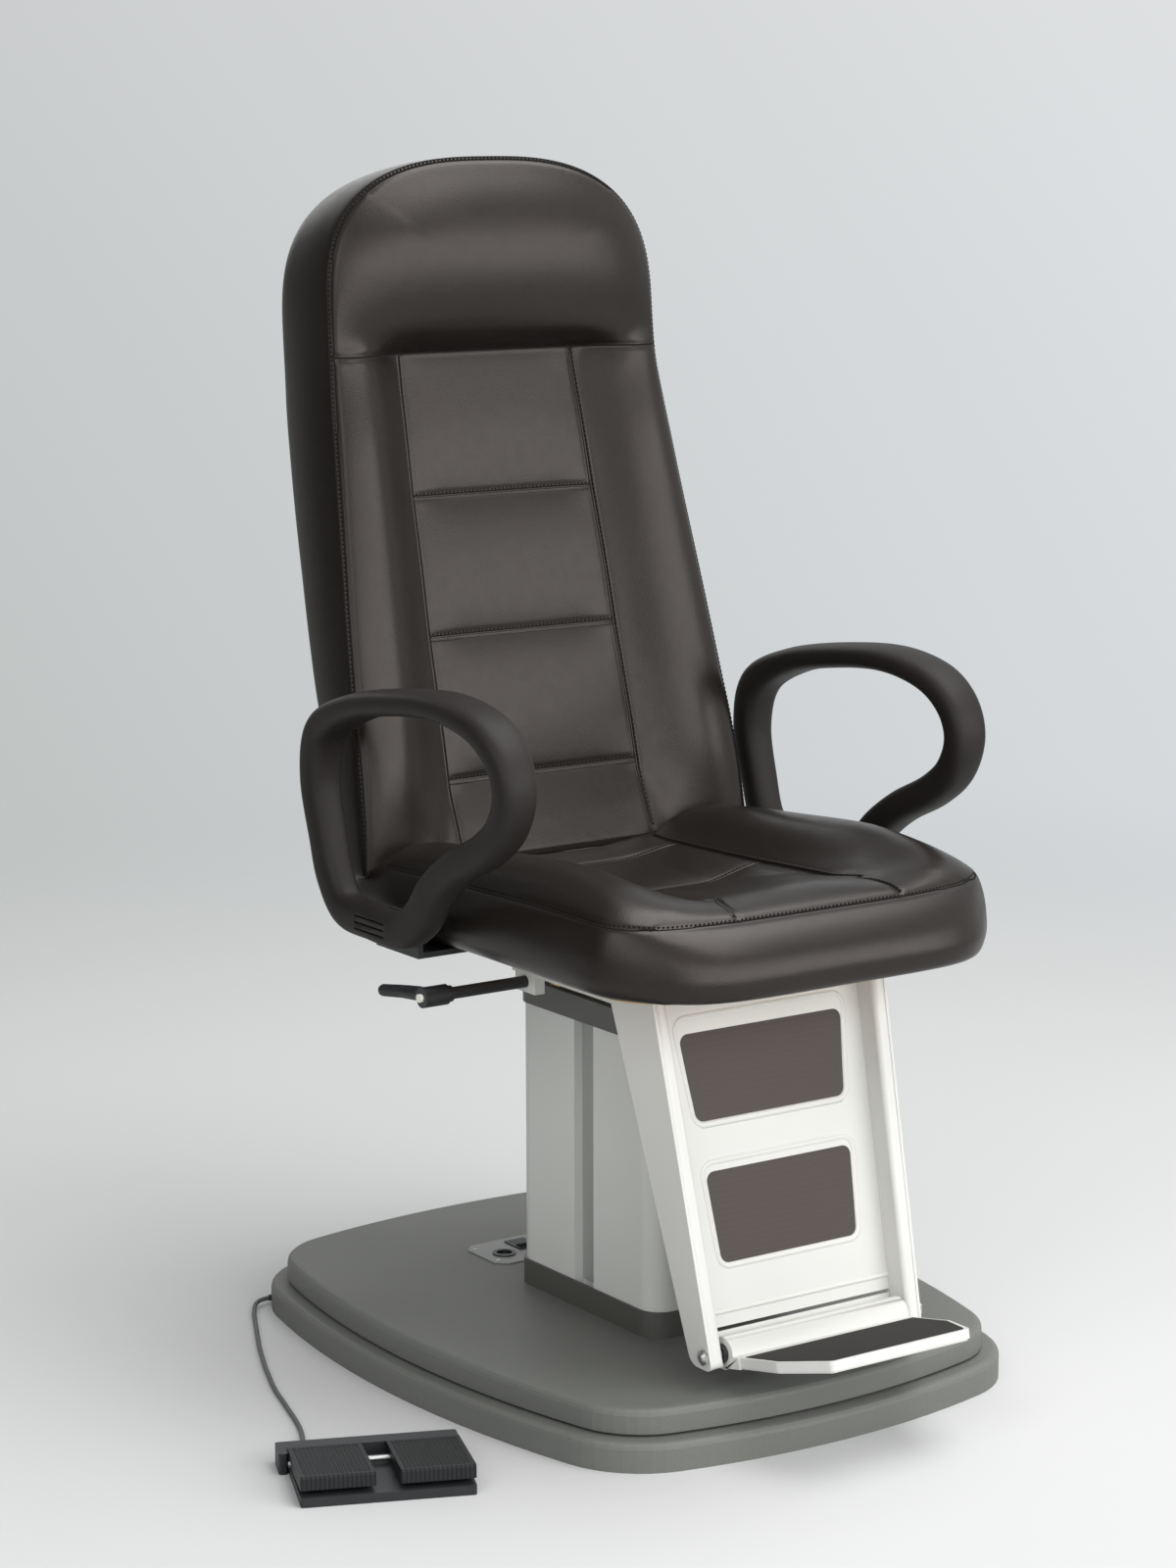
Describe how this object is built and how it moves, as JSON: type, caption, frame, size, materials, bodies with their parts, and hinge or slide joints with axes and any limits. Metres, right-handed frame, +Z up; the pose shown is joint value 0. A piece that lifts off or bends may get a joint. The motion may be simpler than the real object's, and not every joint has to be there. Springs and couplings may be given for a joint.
{
  "type": "ophthalmic examination chair",
  "caption": "Examination chair on a lifting column: swivel seat, high padded back, loop armrests, leg rest with folding foot plate, clamping lever and a corded foot control.",
  "frame": {"origin": "on the floor, at the underside of the base, under the swivel axis at the middle of the column", "axes": "+Z up along the swivel axis; -Y the way the sitter faces; +X to the sitter's left"},
  "size_m": [0.8767, 0.8676, 1.2913],
  "materials": {
    "cover_grey": "lightly textured, matt",
    "profile_grey": "powder coated, fine texture",
    "trim_grey": "satin",
    "leatherette": "soft sheen, fine grain",
    "arm_foam": "soft integral foam, fine grain",
    "white_coat": "smooth powder coat",
    "insert_brown": "fine ribbed sheet",
    "mat_rubber": "matt",
    "steel": "bare or zinc plated",
    "black_metal": "black satin",
    "black_plastic": "moulded",
    "charcoal_plastic": "moulded, satin",
    "cord_rubber": "soft jacket",
    "rubber_black": "moulded",
    "plywood": "raw",
    "brass": "machined",
    "white_plastic": "slick bearing plastic"
  },
  "bodies": {
    "base": {"base_plate": "steel", "base_lower_cover": "cover_grey", "base_upper_cover": "cover_grey", "base_grip_pads": "rubber_black", "column_flange": "steel", "column_bolts": "steel", "column_skirt": "trim_grey", "column_outer_profile": "profile_grey", "column_slot_strips": "trim_grey", "column_top_bezel": "trim_grey", "upper_guide_pads": "white_plastic", "actuator_housing": "charcoal_plastic", "actuator_motor": "black_metal", "control_unit": "charcoal_plastic", "service_plate": "cover_grey", "service_plate_screws": "steel", "accessory_socket": "black_plastic", "switch_bezel": "black_plastic", "pedal_base": "charcoal_plastic", "pedal_rear_cover": "charcoal_plastic", "pedal_axle": "steel", "pedal_switches": "black_plastic", "pedal_springs": "steel", "cord_grommets": "rubber_black", "pedal_cord": "cord_rubber"},
    "column_lift": {"column_inner_profile": "profile_grey", "lower_guide_pads": "white_plastic", "actuator_rod": "steel", "head_plate": "steel", "brake_disc": "trim_grey", "swivel_post": "steel"},
    "seat": {"slide_ring": "white_plastic", "swivel_bush": "white_plastic", "seat_carrier": "white_coat", "brake_block": "profile_grey", "brake_shoe": "brass", "seat_board": "plywood", "seat_cushion": "leatherette", "back_bracket": "black_metal", "back_bolts": "steel", "back_board": "plywood", "backrest_cushion": "leatherette", "back_panel": "leatherette", "arm_brackets": "black_metal", "arm_bolts": "steel", "armrest_left": "arm_foam", "armrest_right": "arm_foam", "legrest_frame": "white_coat", "legrest_pad_upper": "insert_brown", "legrest_pad_lower": "insert_brown", "foot_hinge_bolts": "steel"},
    "foot_plate_body": {"foot_plate": "white_coat", "foot_plate_mat": "mat_rubber", "hinge_bushes": "black_plastic"},
    "brake_lever_body": {"lever_rod": "black_metal", "lever_handle": "black_plastic"},
    "lever_button_body": {"lever_button": "white_plastic"},
    "power_rocker_body": {"power_rocker": "charcoal_plastic"},
    "pedal_left_body": {"pedal_left": "charcoal_plastic"},
    "pedal_right_body": {"pedal_right": "charcoal_plastic"}
  },
  "joints": [
    {"name": "column_lift", "type": "slide", "parent": "base", "child": "column_lift", "axis": [0, 0, 1], "range_m": [0, 0.2]},
    {"name": "seat_swivel", "type": "hinge", "parent": "column_lift", "child": "seat", "pos_m": [0, 0, 0.438], "axis": [0, 0, 1], "continuous": true},
    {"name": "foot_plate_fold", "type": "hinge", "parent": "seat", "child": "foot_plate_body", "pos_m": [0, -0.288, 0.097], "axis": [-1, 0, 0], "range_deg": [0, 90]},
    {"name": "brake_lever_turn", "type": "hinge", "parent": "seat", "child": "brake_lever_body", "pos_m": [-0.244, 0.02, 0.43], "axis": [-1, 0, 0], "range_deg": [0, 75]},
    {"name": "lever_button_press", "type": "slide", "parent": "brake_lever_body", "child": "lever_button_body", "axis": [1, 0, 0], "range_m": [0, 0.003], "stiffness_N_per_m": 400, "springref_m": -0.003},
    {"name": "power_rocker_tip", "type": "hinge", "parent": "base", "child": "power_rocker_body", "pos_m": [-0.018, 0.229, 0.057], "axis": [1, 0, 0], "range_deg": [0, 14]},
    {"name": "left_pedal_press", "type": "hinge", "parent": "base", "child": "pedal_left_body", "pos_m": [-0.44641, -0.15533, 0.015], "axis": [0.9219, -0.3875, 0], "range_deg": [0, 4], "stiffness_Nm_per_rad": 2, "springref_deg": -5.73},
    {"name": "right_pedal_press", "type": "hinge", "parent": "base", "child": "pedal_right_body", "pos_m": [-0.44641, -0.15533, 0.015], "axis": [0.9219, -0.3875, 0], "range_deg": [0, 4], "stiffness_Nm_per_rad": 2, "springref_deg": -5.73}
  ]
}
